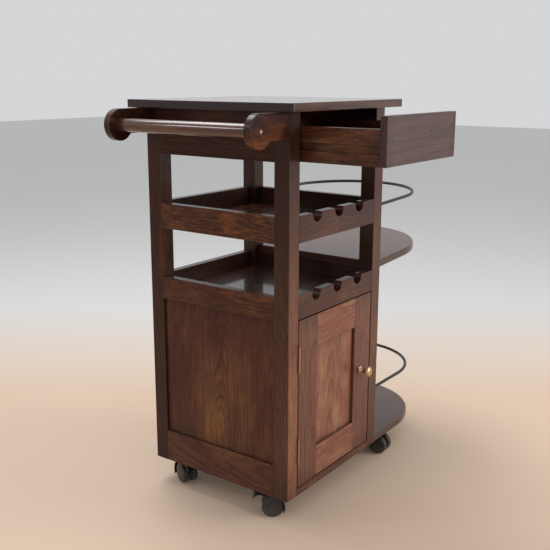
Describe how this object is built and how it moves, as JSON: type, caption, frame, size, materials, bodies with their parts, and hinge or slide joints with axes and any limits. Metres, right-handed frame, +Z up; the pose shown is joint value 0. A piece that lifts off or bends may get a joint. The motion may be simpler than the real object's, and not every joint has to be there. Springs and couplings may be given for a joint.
{
  "type": "bar cart",
  "caption": "Wooden bar cart on casters with a drawer, a cupboard, two open trays with bottle notches, round side shelves with rod galleries and a push handle.",
  "frame": {"origin": "on the floor, below the middle of the whole outline with the drawer pulled out as stored", "axes": "+Z up, +X towards the round side shelves, +Y towards the back; the drawer and the door face -Y"},
  "size_m": [0.8564, 0.6226, 0.9315],
  "materials": {
    "dark_wood": "dark walnut stain under semi-gloss lacquer",
    "black_iron": "dark painted iron rod",
    "brass": "worn antique brass",
    "black_plastic": "moulded black plastic",
    "wheel_plastic": "moulded dark grey wheels",
    "steel": "zinc plated",
    "catch_plastic": "brown plastic"
  },
  "bodies": {
    "cart": {"apron_back": "dark_wood", "apron_left": "dark_wood", "apron_right": "dark_wood", "bottom_board": "dark_wood", "bottom_rail_back": "dark_wood", "bottom_rail_left": "dark_wood", "bottom_rail_right": "dark_wood", "caster_plates": "steel", "drawer_runners": "dark_wood", "gallery_rod_lower": "black_iron", "gallery_rod_upper": "black_iron", "handle_bar": "dark_wood", "handle_bracket_back": "dark_wood", "handle_bracket_front": "dark_wood", "hinge_pins": "brass", "hinge_post_leaves": "brass", "lower_bottle_rail": "dark_wood", "lower_rail_back": "dark_wood", "lower_rail_left": "dark_wood", "lower_rail_right": "dark_wood", "lower_tray_board": "dark_wood", "magnetic_catch": "catch_plastic", "panel_back": "dark_wood", "panel_left": "dark_wood", "panel_right": "dark_wood", "post_back_left": "dark_wood", "post_back_right": "dark_wood", "post_front_left": "dark_wood", "post_front_right": "dark_wood", "side_shelf_lower": "dark_wood", "side_shelf_upper": "dark_wood", "top_board": "dark_wood", "upper_bottle_rail": "dark_wood", "upper_rail_back": "dark_wood", "upper_rail_left": "dark_wood", "upper_rail_right": "dark_wood", "upper_tray_board": "dark_wood", "wood_screws": "steel"},
    "drawer": {"drawer_front": "dark_wood", "drawer_side_left": "dark_wood", "drawer_side_right": "dark_wood", "drawer_back": "dark_wood", "drawer_bottom": "dark_wood"},
    "door": {"door_knob": "brass", "door_panel": "dark_wood", "door_rail_bottom": "dark_wood", "door_rail_top": "dark_wood", "door_stile_hinge": "dark_wood", "door_stile_knob": "dark_wood", "hinge_door_leaves": "brass"},
    "caster_front_left": {"caster_front_left_housing": "black_plastic"},
    "caster_front_left_roll": {"caster_front_left_wheels": "wheel_plastic"},
    "caster_front_left_lever": {"caster_front_left_brake": "black_plastic"},
    "caster_back_left": {"caster_back_left_housing": "black_plastic"},
    "caster_back_left_roll": {"caster_back_left_wheels": "wheel_plastic"},
    "caster_back_left_lever": {"caster_back_left_brake": "black_plastic"},
    "caster_front_right": {"caster_front_right_housing": "black_plastic"},
    "caster_front_right_roll": {"caster_front_right_wheels": "wheel_plastic"},
    "caster_back_right": {"caster_back_right_housing": "black_plastic"},
    "caster_back_right_roll": {"caster_back_right_wheels": "wheel_plastic"}
  },
  "joints": [
    {"name": "drawer_slide", "type": "slide", "parent": "cart", "child": "drawer", "axis": [0, -1, 0], "range_m": [-0.197, 0.06]},
    {"name": "door_hinge", "type": "hinge", "parent": "cart", "child": "door", "pos_m": [-0.2605, -0.11665, 0.2765], "axis": [0, 0, -1], "range_deg": [0, 170]},
    {"name": "caster_front_left_swivel", "type": "hinge", "parent": "cart", "child": "caster_front_left", "pos_m": [-0.25675, -0.06525, 0.059], "axis": [0, 0, 1], "continuous": true},
    {"name": "caster_front_left_spin", "type": "hinge", "parent": "caster_front_left", "child": "caster_front_left_roll", "pos_m": [-0.26733, -0.05069, 0.025], "axis": [0.809, 0.5878, 0], "continuous": true},
    {"name": "caster_front_left_brake_hinge", "type": "hinge", "parent": "caster_front_left", "child": "caster_front_left_lever", "pos_m": [-0.27674, -0.03774, 0.05061], "axis": [-0.809, -0.5878, 0], "range_deg": [0, 25]},
    {"name": "caster_back_left_swivel", "type": "hinge", "parent": "cart", "child": "caster_back_left", "pos_m": [-0.25675, 0.23275, 0.059], "axis": [0, 0, 1], "continuous": true},
    {"name": "caster_back_left_spin", "type": "hinge", "parent": "caster_back_left", "child": "caster_back_left_roll", "pos_m": [-0.26407, 0.21631, 0.025], "axis": [-0.9135, 0.4067, 0], "continuous": true},
    {"name": "caster_back_left_brake_hinge", "type": "hinge", "parent": "caster_back_left", "child": "caster_back_left_lever", "pos_m": [-0.27058, 0.20169, 0.05061], "axis": [0.9135, -0.4067, 0], "range_deg": [0, 25]},
    {"name": "caster_front_right_swivel", "type": "hinge", "parent": "cart", "child": "caster_front_right", "pos_m": [0.16525, -0.07225, 0.059], "axis": [0, 0, 1], "continuous": true},
    {"name": "caster_front_right_spin", "type": "hinge", "parent": "caster_front_right", "child": "caster_front_right_roll", "pos_m": [0.16588, -0.09024, 0.025], "axis": [-0.9994, -0.0349, 0], "continuous": true},
    {"name": "caster_back_right_swivel", "type": "hinge", "parent": "cart", "child": "caster_back_right", "pos_m": [0.16525, 0.23975, 0.059], "axis": [0, 0, 1], "continuous": true},
    {"name": "caster_back_right_spin", "type": "hinge", "parent": "caster_back_right", "child": "caster_back_right_roll", "pos_m": [0.15909, 0.22284, 0.025], "axis": [-0.9397, 0.342, 0], "continuous": true}
  ]
}
